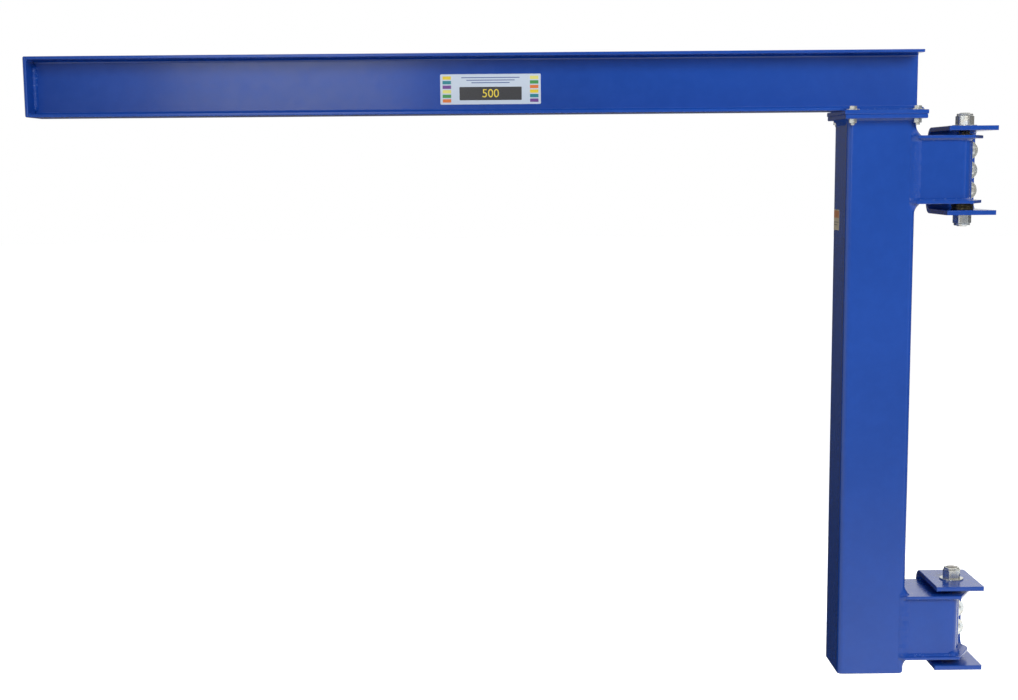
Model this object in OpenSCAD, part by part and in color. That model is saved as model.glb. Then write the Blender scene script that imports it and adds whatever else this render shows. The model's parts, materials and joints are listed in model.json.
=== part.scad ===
// Wall-mounted jib crane: a welded jib of a square post, a wide-flange boom and two
// arms, which swings on two vertical pins held in C-shaped wall brackets.
// Frame: the wall is the plane y = 0 and the crane stands on its -Y side. X runs along
// the wall, with the boom towards -X at rest, and Z is up. The origin is the centre of
// the lower bracket's back face.

/* [Wall brackets] */
// Height from the centre of the lower bracket to the centre of the upper one
bracket_spacing = 1207; // [900:1:1800]
// Width of each bracket along the wall
bracket_w = 127; // [124:1:160]
// Distance from the wall to the front edge of the lips
bracket_d = 233; // [200:1:260]
// Thickness of the bent plate
bracket_t = 12; // [8:1:14]
// Outside radius of the two bends
bend_r = 34; // [24:1:40]
// Radius of the front corners of the lips
lip_corner_r = 4; // [1:1:20]
// Distance from the wall to the pins
pin_to_wall = 137; // [134:1:160]
// Gap between each arm's upper bushing flange and the bracket's top lip
arm_headroom = 8.7; // [5:0.1:12]
// Distance between the outer wall washers and the bends
wall_washer_margin = 1.1; // [0.5:0.1:5]

/* [Wall bolts] */
// Diameter of the wall bolts
wall_bolt_d = 19; // [12:1:20]
// Distance between the two columns of wall bolts
wall_bolt_pitch_x = 88.9; // [70:0.1:92]
// Distance between the three rows of wall bolts
wall_bolt_pitch_z = 53; // [51:1:60]
// Length of the wall bolts behind the wall plane
wall_bolt_reach = 60; // [30:5:200]
// Width across the flats of the wall bolt heads
wall_bolt_af = 28.6; // [22:0.1:32]
// Height of the wall bolt heads
wall_bolt_head_h = 12; // [7:0.5:12.5]
// Diameter of the wall bolt washers
wall_washer_d = 50.8; // [38:0.1:52]
// Thickness of the wall bolt washers
wall_washer_t = 4; // [2:0.5:4.5]

/* [Pins] */
// Diameter of the two pins
pin_d = 28.6; // [20:0.1:32]
// Width across the flats of the pin nuts and of the lower pin's head
pin_nut_af = 42.9; // [38:0.1:50]
// Height of the six-sided part of the lock nuts
lock_nut_hex_h = 24; // [14:0.5:26]
// Height of the round collar of the lock nuts
lock_nut_collar_h = 5.5; // [3:0.5:8]
// Diameter of the round collar of the lock nuts
lock_nut_collar_d = 42; // [34:0.5:42]
// Height of the lower pin's head
pin_head_h = 16; // [10:0.5:20]
// Diameter of the washers under the pin nuts
pin_washer_d = 63; // [52:1:70]
// Thickness of the washers under the pin nuts
pin_washer_t = 3.5; // [2:0.5:6]
// Length of pin that stands out of its nuts
pin_end = 1.5; // [1:0.5:6]

/* [Bearings] */
// Outside diameter of the thrust bearings on the lower lips
thrust_d = 57; // [45:1:62]
// Height of the thrust bearings
thrust_h = 14; // [10:0.5:20]
// Outside diameter of the bushings' sleeves
bushing_d = 35; // [34:0.5:38]
// Length of each bushing's sleeve
bushing_l = 50; // [30:1:70]
// Diameter of the bushings' flanges
bushing_flange_d = 42; // [40:0.5:60]
// Thickness of the bushings' flanges
bushing_flange_t = 3; // [1.5:0.5:4]

/* [Arms] */
// Height of the arms' side plates
arm_side_h = 158; // [120:0.1:180]
// Thickness of the arms' side plates
arm_side_t = 9.5; // [6:0.5:12]
// Width of the arms over their side plates
arm_body_w = 172; // [140:1:178]
// Outside radius of the bends where the side plates turn in to the hubs
arm_bend_r = 28; // [16:1:36]
// Width of the arms' top and bottom plates
arm_plate_w = 203; // [180:1:220]
// Thickness of the arms' top and bottom plates
arm_plate_t = 8; // [6:0.5:12]
// Distance that the arms' straight sides run past the pins
arm_shoulder = 2; // [0:1:8]
// Radius of the arm plates' noses round the pins
arm_nose_r = 48; // [34:1:60]
// Outside diameter of the hub tubes round the pins
hub_d = 44.5; // [42:0.5:56]

/* [Post] */
// Width of the square post
post_w = 177.8; // [150:0.1:190]
// Wall thickness of the post
post_wall = 6.4; // [4:0.1:12]
// Outside corner radius of the post
post_corner_r = 15; // [13:0.5:16]
// Distance from the pins to the centre of the post
post_offset = 233; // [228:1:320]
// Height of the lower bracket's centre above the foot of the post
post_drop = 124.5; // [110:0.5:200]
// Height of the top of the post above the upper bracket's centre
post_rise = 132.5; // [129:0.5:200]

/* [Boom] */
// Distance from the pins to the tip of the boom
boom_reach = 2420; // [1500:10:3600]
// Distance that the boom runs past the centre of the post
boom_heel = 107; // [60:1:120]
// Depth of the boom
boom_h = 152.4; // [100:0.1:200]
// Width of the boom's flanges
boom_w = 152; // [90:1:160]
// Thickness of the boom's flanges
boom_flange_t = 7.5; // [5:0.5:12]
// Thickness of the boom's web
boom_web_t = 6; // [4:0.5:10]
// Radius between the web and the flanges
boom_root_r = 8; // [4:0.5:12]
// Thickness of the plate that closes the tip
tip_plate_t = 9; // [6:0.5:14]

/* [Flange joint] */
// Length of the cap plate along the boom
joint_x = 210; // [205:1:216]
// Width of the cap plate across the boom
joint_y = 245; // [236:1:250]
// Distance that the boom's base plate stands out all round the cap plate
joint_margin = 1.75; // [0:0.25:3]
// Thickness of each joint plate
joint_t = 11; // [6:0.5:14]
// Distance of the joint plates' centre from the post's centre, towards the pins
joint_shift = 3; // [0:0.5:6]
// Distance between the joint bolts along the boom
joint_bolt_x = 165; // [150:1:180]
// Distance between the joint bolts across the boom
joint_bolt_y = 203.2; // [202:0.1:214]
// Diameter of the joint bolts
joint_bolt_d = 12.7; // [8:0.1:14]
// Width across the flats of the joint bolts
joint_bolt_af = 19; // [16:0.1:20]
// Height of the joint bolts' heads
joint_head_h = 8; // [5:0.5:9]
// Height of the joint bolts' nuts
joint_nut_h = 11; // [7:0.5:13]
// Length of joint bolt that stands out of its nut
joint_bolt_end = 5; // [2:0.5:12]
// Diameter of the joint bolts' washers
joint_washer_d = 34; // [24:0.5:36]
// Thickness of the joint bolts' washers
joint_washer_t = 2.5; // [1.5:0.5:4]

/* [Clearances] */
// Gap all round a bolt or pin in its hole
hole_gap = 0.8; // [0.4:0.1:1]
// Gap all round the pins in their bushings
running_gap = 0.05; // [0.02:0.01:0.1]
// Gap between a bushing's flange and the thrust bearing under it
thrust_gap = 0.3; // [0.2:0.1:0.5]
// Gap all round a thread in its nut
thread_gap = 0.05; // [0.02:0.01:0.1]
// How much less the radius of the wall bolts' threads is than that of their shanks
thread_relief = 0.5; // [0.4:0.1:1]

/* [Hidden] */
$fn = 96;
eps = 1;                                              // how far a cut runs past its solid
washer_gap = hole_gap / 2;
bevel = 0.08;                                         // corner bevel of a nut, as a share of its width
nose_blend = 0.1;                                     // how deep an arm plate's sides run into its nose

arm_h = arm_side_h + 2 * arm_plate_t;
stack_h = thrust_h + thrust_gap + arm_h + 2 * bushing_flange_t + arm_headroom;
bolts_h = 2 * wall_bolt_pitch_z + wall_washer_d + 2 * wall_washer_margin;
bracket_h = max(stack_h + 2 * bracket_t, bolts_h + 2 * bend_r);  // as the arm or the bolts need

pin_y = -pin_to_wall;
lip_half = bracket_h / 2;                             // bracket centre to the outside of a lip
lip_inner = lip_half - bracket_t;                     // bracket centre to the inside of a lip
upper_z = bracket_spacing;
lower_z = 0;

arm_z = -lip_inner + thrust_h + thrust_gap + bushing_flange_t;  // bracket centre to arm underside
arm_from = -post_offset + post_w / 2;                 // where the arms leave the post

post_foot_z = -post_drop;
post_top_z = upper_z + post_rise;
post_h = post_top_z - post_foot_z;
joint_c = -post_offset + joint_shift;                 // centre of the joint plates along X
boom_z = post_top_z + 2 * joint_t;                    // underside of the boom
boom_to = -post_offset + boom_heel;                   // heel of the boom

wall_bolt_y = -bracket_t - wall_washer_t;             // underside of the wall bolt heads
joint_washer_z = post_top_z + 2 * joint_t;
joint_bolt_l = 2 * joint_t + joint_washer_t + joint_nut_h + joint_bolt_end;

blue = [0.13, 0.30, 0.62];
zinc = [0.75, 0.75, 0.72];
bronze = [0.55, 0.45, 0.28];

// ---- Shared shapes -------------------------------------------------------------------

// A rectangle centred on the origin with round corners
module round_rect(w, h, r) {
    square([w - 2 * r, h], center = true);
    square([w, h - 2 * r], center = true);
    for (x = [-1, 1], y = [-1, 1])
        translate([x * (w / 2 - r), y * (h / 2 - r)]) circle(r);
}

// A rectangle from u = a to u = b, centred on v = 0, with the two corners at u = a round
module one_end_round(a, b, h, r) {
    translate([a + r, -h / 2]) square([b - a - r, h]);
    translate([a, -h / 2 + r]) square([b - a, h - 2 * r]);
    for (v = [-1, 1]) translate([a + r, v * (h / 2 - r)]) circle(r);
}

// A flat ring standing on z = 0
module ring(d, bore, h) {
    difference() {
        cylinder(d = d, h = h);
        translate([0, 0, -eps]) cylinder(d = bore, h = h + 2 * eps);
    }
}

// A six-sided block standing on z = 0 with the corners of its top bevelled off
module hex_block(af, h) {
    corner = af / cos(30) / 2;
    cut = bevel * af;
    intersection() {
        cylinder(r = corner, h = h, $fn = 6);
        rotate_extrude()
            polygon([[0, 0], [corner, 0], [corner, h - cut / 2], [corner - cut, h], [0, h]]);
    }
}

// A hexagon nut standing on z = 0
module nut(af, h, d) {
    difference() {
        hex_block(af, h);
        translate([0, 0, -eps]) cylinder(d = d + 2 * thread_gap, h = h + 2 * eps);
    }
}

// A lock nut: a hexagon with a round collar on top
module lock_nut() {
    rim = 2;
    difference() {
        union() {
            hex_block(pin_nut_af, lock_nut_hex_h);
            rotate_extrude() polygon([
                [0, 0], [lock_nut_collar_d / 2, 0],
                [lock_nut_collar_d / 2, lock_nut_hex_h + lock_nut_collar_h - rim],
                [lock_nut_collar_d / 2 - rim, lock_nut_hex_h + lock_nut_collar_h],
                [0, lock_nut_hex_h + lock_nut_collar_h]
            ]);
        }
        translate([0, 0, -eps])
            cylinder(d = pin_d + 2 * thread_gap, h = lock_nut_hex_h + lock_nut_collar_h + 2 * eps);
    }
}

// A round bar along Z from z = a to z = b, with its end at b bevelled
module bar(d, a, b) {
    cut = 0.06 * d;
    translate([0, 0, a]) rotate_extrude()
        polygon([[0, 0], [d / 2, 0], [d / 2, b - a - cut], [d / 2 - cut, b - a], [0, b - a]]);
}

// A hexagon bolt along Z: the head stands on z = 0 and the shank hangs below it
module bolt(d, af, head_h, shank) {
    hex_block(af, head_h);
    mirror([0, 0, 1]) bar(d, -eps, shank);
}

module at_pin(z) { translate([0, pin_y, z]) children(); }

// ---- Wall brackets -------------------------------------------------------------------

// The side outline of a bracket, with u out from the wall and v up
module bracket_outline() {
    difference() {
        one_end_round(0, bracket_d, bracket_h, bend_r);
        one_end_round(bracket_t, bracket_d + eps, 2 * lip_inner, bend_r - bracket_t);
    }
}

module at_wall_bolts() {
    for (x = [-1, 1], row = [-1 : 1])
        translate([x * wall_bolt_pitch_x / 2, 0, row * wall_bolt_pitch_z]) children();
}

module bracket() {
    difference() {
        intersection() {
            translate([-bracket_w / 2, 0, 0]) rotate([90, 0, -90]) mirror([0, 0, 1])
                linear_extrude(bracket_w) bracket_outline();
            translate([0, 0, -lip_half - eps]) rotate([0, 0, 90]) mirror([1, 0, 0])
                linear_extrude(bracket_h + 2 * eps) mirror([1, 0])
                    one_end_round(-bracket_d, eps, bracket_w, lip_corner_r);
        }
        translate([0, pin_y, -lip_half - eps])
            cylinder(d = pin_d + 2 * hole_gap, h = bracket_h + 2 * eps);
        at_wall_bolts() rotate([90, 0, 0])
            translate([0, 0, -eps]) cylinder(d = wall_bolt_d + 2 * hole_gap, h = bracket_t + 2 * eps);
    }
}

module wall_washers() {
    at_wall_bolts() translate([0, -bracket_t, 0]) rotate([90, 0, 0])
        ring(wall_washer_d, wall_bolt_d + 2 * washer_gap, wall_washer_t);
}

// The shanks end at the wall plane and the threads go on into the wall
module wall_bolts() {
    at_wall_bolts() translate([0, wall_bolt_y, 0]) rotate([90, 0, 0]) {
        hex_block(wall_bolt_af, wall_bolt_head_h);
        translate([0, 0, wall_bolt_y]) cylinder(d = wall_bolt_d, h = eps - wall_bolt_y);
        mirror([0, 0, 1])
            bar(wall_bolt_d - 2 * thread_relief, -wall_bolt_y - eps, wall_bolt_reach - wall_bolt_y);
    }
}

module thrust_bearing() {
    at_pin(-lip_inner) ring(thrust_d, pin_d + 2 * washer_gap, thrust_h);
}

module upper_bracket() { color(blue) translate([0, 0, upper_z]) bracket(); }
module upper_wall_washers() { color(zinc) translate([0, 0, upper_z]) wall_washers(); }
module upper_wall_bolts() { color(zinc) translate([0, 0, upper_z]) wall_bolts(); }
module upper_thrust_bearing() { color(bronze) translate([0, 0, upper_z]) thrust_bearing(); }

module lower_bracket() { color(blue) translate([0, 0, lower_z]) bracket(); }
module lower_wall_washers() { color(zinc) translate([0, 0, lower_z]) wall_washers(); }
module lower_wall_bolts() { color(zinc) translate([0, 0, lower_z]) wall_bolts(); }
module lower_thrust_bearing() { color(bronze) translate([0, 0, lower_z]) thrust_bearing(); }

// ---- Pins ----------------------------------------------------------------------------

lock_nut_h = lock_nut_hex_h + lock_nut_collar_h;
pin_up = lip_half + pin_washer_t + lock_nut_h + pin_end;
pin_down = lip_half + lock_nut_h + pin_end;

// The upper pin carries a nut at each end
module upper_pin() {
    color(zinc) at_pin(upper_z) {
        bar(pin_d, 0, pin_up);
        mirror([0, 0, 1]) bar(pin_d, -eps, pin_down);
    }
}

module upper_pin_washer() {
    color(zinc) at_pin(upper_z + lip_half)
        ring(pin_washer_d, pin_d + 2 * washer_gap, pin_washer_t);
}

module upper_pin_top_nut() {
    color(zinc) at_pin(upper_z + lip_half + pin_washer_t) rotate([0, 0, 10]) lock_nut();
}

module upper_pin_bottom_nut() {
    color(zinc) at_pin(upper_z - lip_half) rotate([0, 0, 25]) mirror([0, 0, 1]) lock_nut();
}

// The lower pin is a bolt with its head below the bracket
module lower_pin() {
    color(zinc) at_pin(lower_z - lip_half) {
        bar(pin_d, -eps, lip_half + pin_up);
        rotate([0, 0, 20]) mirror([0, 0, 1]) hex_block(pin_nut_af, pin_head_h);
    }
}

module lower_pin_washer() {
    color(zinc) at_pin(lower_z + lip_half)
        ring(pin_washer_d, pin_d + 2 * washer_gap, pin_washer_t);
}

module lower_pin_nut() {
    color(zinc) at_pin(lower_z + lip_half + pin_washer_t) rotate([0, 0, 35]) lock_nut();
}

// ---- Arms ----------------------------------------------------------------------------

// Where the straight side from an arm plate's shoulder runs into the nose
nose_in_r = arm_nose_r - nose_blend;
nose_angle = atan2(arm_plate_w / 2, arm_shoulder)
    - acos(nose_in_r / norm([arm_shoulder, arm_plate_w / 2]));
nose_in = nose_in_r * [cos(nose_angle), sin(nose_angle)];

module arm_plate() {
    difference() {
        union() {
            cylinder(r = arm_nose_r, h = arm_plate_t);
            linear_extrude(arm_plate_t) polygon([
                [arm_from, arm_plate_w / 2], [arm_shoulder, arm_plate_w / 2], nose_in,
                [nose_in.x, -nose_in.y], [arm_shoulder, -arm_plate_w / 2],
                [arm_from, -arm_plate_w / 2]
            ]);
        }
        translate([0, 0, -eps]) cylinder(d = bushing_d, h = arm_plate_t + 2 * eps);
    }
}

// One side plate of an arm: it runs from the post to a round bend and turns in to the hub
module arm_side_outline() {
    out = arm_body_w / 2;
    bend = [arm_shoulder - arm_bend_r, out - arm_bend_r];
    difference() {
        union() {
            translate([arm_from, out - arm_side_t]) square([bend.x - arm_from, arm_side_t]);
            translate([arm_shoulder - arm_side_t, 0]) square([arm_side_t, bend.y]);
            translate(bend) intersection() {
                difference() {
                    circle(arm_bend_r);
                    circle(arm_bend_r - arm_side_t);
                }
                square(arm_bend_r);
            }
        }
        circle(d = hub_d);
    }
}

module arm_sides() {
    linear_extrude(arm_side_h) for (side = [0, 1]) mirror([0, side]) arm_side_outline();
}

// Two flanged bushings, one from each end of an arm
module bushings() {
    for (end = [0, 1]) translate([0, 0, end * arm_h]) mirror([0, 0, end]) {
        ring(bushing_d, pin_d + 2 * running_gap, bushing_l);
        translate([0, 0, -bushing_flange_t])
            ring(bushing_flange_d, pin_d + 2 * running_gap, bushing_flange_t);
    }
}

upper_arm_z = upper_z + arm_z;
lower_arm_z = lower_z + arm_z;

module upper_arm_bottom_plate() { color(blue) at_pin(upper_arm_z) arm_plate(); }
module upper_arm_top_plate() { color(blue) at_pin(upper_arm_z + arm_h - arm_plate_t) arm_plate(); }
module upper_arm_sides() { color(blue) at_pin(upper_arm_z + arm_plate_t) arm_sides(); }
module upper_hub() { color(blue) at_pin(upper_arm_z + arm_plate_t) ring(hub_d, bushing_d, arm_side_h); }
module upper_bushings() { color(bronze) at_pin(upper_arm_z) bushings(); }

module lower_arm_bottom_plate() { color(blue) at_pin(lower_arm_z) arm_plate(); }
module lower_arm_top_plate() { color(blue) at_pin(lower_arm_z + arm_h - arm_plate_t) arm_plate(); }
module lower_arm_sides() { color(blue) at_pin(lower_arm_z + arm_plate_t) arm_sides(); }
module lower_hub() { color(blue) at_pin(lower_arm_z + arm_plate_t) ring(hub_d, bushing_d, arm_side_h); }
module lower_bushings() { color(bronze) at_pin(lower_arm_z) bushings(); }

// ---- Post and boom -------------------------------------------------------------------

module post() {
    color(blue) translate([-post_offset, pin_y, post_foot_z]) linear_extrude(post_h) difference() {
        round_rect(post_w, post_w, post_corner_r);
        round_rect(post_w - 2 * post_wall, post_w - 2 * post_wall, post_corner_r - post_wall);
    }
}

module at_joint_bolts() {
    for (x = [-1, 1], y = [-1, 1])
        translate([joint_c + x * joint_bolt_x / 2, pin_y + y * joint_bolt_y / 2, 0]) children();
}

module joint_plate(z, margin) {
    x = joint_x + 2 * margin;
    y = joint_y + 2 * margin;
    difference() {
        translate([joint_c - x / 2, pin_y - y / 2, z]) cube([x, y, joint_t]);
        at_joint_bolts() translate([0, 0, z - eps])
            cylinder(d = joint_bolt_d + 2 * hole_gap, h = joint_t + 2 * eps);
    }
}

module post_cap_plate() { color(blue) joint_plate(post_top_z, 0); }
module boom_base_plate() { color(blue) joint_plate(post_top_z + joint_t, joint_margin); }

module joint_washers() {
    color(zinc) at_joint_bolts() translate([0, 0, joint_washer_z])
        ring(joint_washer_d, joint_bolt_d + 2 * washer_gap, joint_washer_t);
}

module joint_bolts() {
    color(zinc) at_joint_bolts() translate([0, 0, joint_washer_z + joint_washer_t])
        bolt(joint_bolt_d, joint_bolt_af, joint_head_h, joint_bolt_l);
}

module joint_nuts() {
    color(zinc) at_joint_bolts() translate([0, 0, post_top_z]) mirror([0, 0, 1])
        nut(joint_bolt_af, joint_nut_h, joint_bolt_d);
}

// The boom's section, standing on v = 0, with a round root on each side of the web
module boom_section() {
    for (v = [0, boom_h - boom_flange_t])
        translate([-boom_w / 2, v]) square([boom_w, boom_flange_t]);
    translate([-boom_web_t / 2, 0]) square([boom_web_t, boom_h]);
    for (u = [0, 1], v = [0, 1]) translate([0, boom_h / 2]) mirror([u, 0]) mirror([0, v])
        difference() {
            translate([0, boom_h / 2 - boom_flange_t - boom_root_r])
                square([boom_web_t / 2 + boom_root_r, boom_root_r]);
            translate([boom_web_t / 2 + boom_root_r, boom_h / 2 - boom_flange_t - boom_root_r])
                circle(boom_root_r);
        }
}

module boom() {
    color(blue) translate([-boom_reach + tip_plate_t, pin_y, boom_z]) rotate([90, 0, 90])
        linear_extrude(boom_to + boom_reach - tip_plate_t) boom_section();
}

module boom_tip_plate() {
    color(blue) translate([-boom_reach, pin_y - boom_w / 2, boom_z])
        cube([tip_plate_t, boom_w, boom_h]);
}

// ---- Assembly ------------------------------------------------------------------------

upper_bracket();
upper_wall_washers();
upper_wall_bolts();
upper_pin();
upper_pin_washer();
upper_pin_top_nut();
upper_pin_bottom_nut();
upper_thrust_bearing();
lower_bracket();
lower_wall_washers();
lower_wall_bolts();
lower_pin();
lower_pin_washer();
lower_pin_nut();
lower_thrust_bearing();
post();
post_cap_plate();
boom_base_plate();
boom();
boom_tip_plate();
joint_bolts();
joint_washers();
joint_nuts();
upper_arm_top_plate();
upper_arm_bottom_plate();
upper_arm_sides();
upper_hub();
upper_bushings();
lower_arm_top_plate();
lower_arm_bottom_plate();
lower_arm_sides();
lower_hub();
lower_bushings();
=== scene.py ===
"""Dresses the wall-mounted jib crane: enamel, zinc and bronze finishes, eased plate edges, bolts
with threads, weld beads, the rating plate and the studio round it. Lengths are in metres."""

import json
import math

import bmesh
import bpy
from mathutils import Matrix, Vector, noise


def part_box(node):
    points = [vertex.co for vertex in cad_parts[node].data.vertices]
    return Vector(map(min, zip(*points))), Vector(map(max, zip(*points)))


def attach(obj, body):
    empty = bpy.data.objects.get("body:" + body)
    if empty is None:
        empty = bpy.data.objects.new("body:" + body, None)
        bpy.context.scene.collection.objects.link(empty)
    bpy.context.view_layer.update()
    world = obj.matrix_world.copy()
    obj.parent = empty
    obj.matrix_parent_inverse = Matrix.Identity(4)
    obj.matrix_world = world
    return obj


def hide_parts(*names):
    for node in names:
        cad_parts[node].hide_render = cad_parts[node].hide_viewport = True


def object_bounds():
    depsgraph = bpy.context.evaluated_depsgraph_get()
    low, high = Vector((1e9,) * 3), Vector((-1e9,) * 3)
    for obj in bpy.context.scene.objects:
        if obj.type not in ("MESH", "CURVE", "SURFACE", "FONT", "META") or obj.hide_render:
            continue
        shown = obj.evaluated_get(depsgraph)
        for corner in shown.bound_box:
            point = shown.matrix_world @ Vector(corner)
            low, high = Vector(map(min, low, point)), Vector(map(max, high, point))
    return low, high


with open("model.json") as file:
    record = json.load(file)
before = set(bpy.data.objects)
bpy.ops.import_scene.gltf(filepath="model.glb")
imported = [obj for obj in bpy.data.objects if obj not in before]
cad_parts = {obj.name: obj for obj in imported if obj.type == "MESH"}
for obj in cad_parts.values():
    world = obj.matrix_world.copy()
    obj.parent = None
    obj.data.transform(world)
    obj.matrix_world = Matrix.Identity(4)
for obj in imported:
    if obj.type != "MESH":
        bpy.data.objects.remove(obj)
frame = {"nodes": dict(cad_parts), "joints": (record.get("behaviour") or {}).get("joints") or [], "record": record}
CAD_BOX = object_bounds()

bl_info = {
    "name": "Wall jib crane",
    "version": (1, 0, 0),
    "blender": (4, 5, 0),
    "location": "View3D > Sidebar > Jib crane",
    "description": "Finishes, fasteners, welds and plates for a wall-mounted jib crane",
    "category": "Object",
}

MM = 0.001
WALL = "wall_brackets"
JIB = "jib"
SIDES = ("upper", "lower")
PIN = Vector(frame["joints"][0]["pos_m"])
X_AXIS = Vector((1, 0, 0))
UP = Vector((0, 0, 1))
DOWN = Vector((0, 0, -1))
FULL_TURN = 2 * math.pi


def corners(node):
    """A node's lowest and highest corners."""
    low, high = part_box(node)
    return Vector(low), Vector(high)


# ---- Meshes --------------------------------------------------------------------------

MERGED = 0.005 * MM       # points closer than this are one
ON_PLANE = 0.01 * MM      # how near an edge lies to the plane that it is on
SHARP_DEGREES = 30        # an edge that turns further than this is eased
SMOOTH_DEGREES = 35       # an edge that turns less than this is shaded smooth
FLAT_DEGREES = 0.5        # faces that turn less than this are one flat face
EDGE_SEGMENTS = 2         # faces across an eased edge
WIDE_SEGMENTS = 4         # faces across an edge that is rounded more
POST_RIM = 6 * MM         # less than the post's wall, so it tells outer edges from inner ones


def make_piece(name, mesh, body, kind, *replaced):
    """Puts a mesh on a body in one of the finishes, in place of the nodes that it stands for."""
    piece = bpy.data.objects.new(name, mesh)
    bpy.context.scene.collection.objects.link(piece)
    mesh.materials.clear()
    mesh.materials.append(finish(kind))
    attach(piece, body)
    if replaced:
        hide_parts(*replaced)


def mesh_of(bm, name, smooth_degrees=SMOOTH_DEGREES):
    """Turns a bmesh into a mesh that is smooth but for edges sharper than the angle."""
    bmesh.ops.recalc_face_normals(bm, faces=bm.faces)
    mesh = bpy.data.meshes.new(name)
    bm.to_mesh(mesh)
    bm.free()
    mesh.shade_smooth()
    mesh.set_sharp_from_angle(angle=math.radians(smooth_degrees))
    return mesh


def flat_shaded_by_area(mesh):
    """The mesh with normals that its large faces lead, so that flat plates look flat."""
    holder = bpy.data.objects.new("holder", mesh)
    bpy.context.scene.collection.objects.link(holder)
    weighted = holder.modifiers.new("weighted", "WEIGHTED_NORMAL")
    weighted.weight = 100
    weighted.keep_sharp = True
    graph = bpy.context.evaluated_depsgraph_get()
    result = bpy.data.meshes.new_from_object(
        holder.evaluated_get(graph), preserve_all_data_layers=True, depsgraph=graph
    )
    result.name = mesh.name
    bpy.data.objects.remove(holder)
    bpy.data.meshes.remove(mesh)
    return result


def node_bmesh(node):
    """A node's mesh, joined up where its triangles meet."""
    bm = bmesh.new()
    bm.from_mesh(frame["nodes"][node].data)
    bmesh.ops.remove_doubles(bm, verts=bm.verts, dist=MERGED)
    return bm


def round_edges(bm, edges, width, segments, clamp=True):
    """Rounds edges inwards. Clamped, they all get less where a short edge leaves less room."""
    bmesh.ops.bevel(
        bm,
        geom=edges,
        offset=width,
        segments=segments,
        profile=0.5,
        affect="EDGES",
        clamp_overlap=clamp,
    )


def foot_edges(bm, node):
    """The outer edges of a tube's lower end."""
    low, high = corners(node)
    middle = (low + high) / 2
    inside = (high.x - low.x) / 2 - POST_RIM
    return [
        edge
        for edge in bm.edges
        if all(vert.co.z < low.z + ON_PLANE for vert in edge.verts)
        and max(abs(sum(vert.co[i] for vert in edge.verts) / 2 - middle[i]) for i in (0, 1)) > inside
    ]


def sharp_edges(bm):
    """The edges between two faces that turn by more than a smooth bend does."""
    return [
        edge
        for edge in bm.edges
        if len(edge.link_faces) == 2 and edge.calc_face_angle(0) > math.radians(SHARP_DEGREES)
    ]


def edges_on(*planes):
    """Chooses a node's sharp edges on the planes of its box, as (axis, 0 for its low end or 1)."""

    def choose(bm, node):
        box = corners(node)
        return [
            edge
            for edge in sharp_edges(bm)
            if any(
                all(abs(vert.co[axis] - box[end][axis]) < ON_PLANE for vert in edge.verts)
                for axis, end in planes
            )
        ]

    return choose


def eased(node, width, chosen=None, more=0.0):
    """A copy of a node's mesh with its sharp edges rounded inwards, and its chosen ones by more."""
    bm = node_bmesh(node)
    flat = math.radians(FLAT_DEGREES)
    bmesh.ops.dissolve_limit(bm, angle_limit=flat, verts=bm.verts, edges=bm.edges)
    if chosen:
        round_edges(bm, chosen(bm, node), more, WIDE_SEGMENTS, clamp=False)
    round_edges(bm, sharp_edges(bm), width, EDGE_SEGMENTS)
    return flat_shaded_by_area(mesh_of(bm, node + "_eased"))


def ease_piece(node, body, kind, width, *chosen):
    """Puts the eased copy of a node in its place."""
    make_piece(node + "_eased", eased(node, width, *chosen), body, kind, node)


def solids_of(node):
    """The box of each separate solid in a node, as (lowest, highest) corners."""
    bm = node_bmesh(node)
    boxes = []
    waiting = set(bm.verts)
    while waiting:
        reach = [waiting.pop()]
        points = []
        while reach:
            vert = reach.pop()
            points.append(vert.co.copy())
            for edge in vert.link_edges:
                other = edge.other_vert(vert)
                if other in waiting:
                    waiting.remove(other)
                    reach.append(other)
        low = Vector(min(p[i] for p in points) for i in range(3))
        high = Vector(max(p[i] for p in points) for i in range(3))
        boxes.append((low, high))
    bm.free()
    return sorted(boxes, key=lambda b: (round(b[0].x, 4), round(b[0].y, 4), b[0].z))


def loft(bm, rings, round_trip=False):
    """Joins rings of points with quads. It caps both ends, or a round trip joins them."""
    made = [[bm.verts.new(p) for p in ring] for ring in rings]
    count = len(made[0])
    pairs = list(zip(made, made[1:]))
    if round_trip:
        pairs.append((made[-1], made[0]))
    for a, b in pairs:
        for i in range(count):
            j = (i + 1) % count
            bm.faces.new((a[i], a[j], b[j], b[i]))
    if not round_trip:
        bm.faces.new(made[0])
        bm.faces.new(made[-1])


def circle_ring(place, radius_at, height_at, steps=48):
    """Points round the local Z axis, with a radius for each angle and a height for each radius."""
    points = []
    for k in range(steps):
        angle = FULL_TURN * (k + 0.5) / steps
        r = radius_at(angle)
        points.append(place @ Vector((r * math.cos(angle), r * math.sin(angle), height_at(r))))
    return points


def level_ring(place, radius, height, steps=48):
    """A level circle of points round the local Z axis."""
    return circle_ring(place, lambda _: radius, lambda _: height, steps)


def turned(bm, profile, place):
    """Turns a closed outline of (radius, height) points about the local Z axis."""
    loft(bm, [level_ring(place, r, z, 64) for r, z in profile], round_trip=True)


def hex_reach(width, angle):
    """How far a hexagon of that width across its flats reaches at an angle."""
    sixth = math.pi / 3
    return width / 2 / math.cos((angle + sixth / 2) % sixth - sixth / 2)


HEX_CROWN = 0.475                             # radius of a hexagon's flat end, as a share of its width
HEX_SLOPE = math.tan(math.radians(28))        # fall of the chamfer on a hexagon's corners
BORE_EDGE = 0.6 * MM                          # chamfer at the mouth of a nut's bore

# The round top of a lock nut, as shares of its collar's radius and height
COLLAR_PROFILE = ((1, 0), (0.97, 0.12), (0.995, 0.3), (0.995, 0.6), (0.96, 0.86), (0.88, 1))


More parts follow.
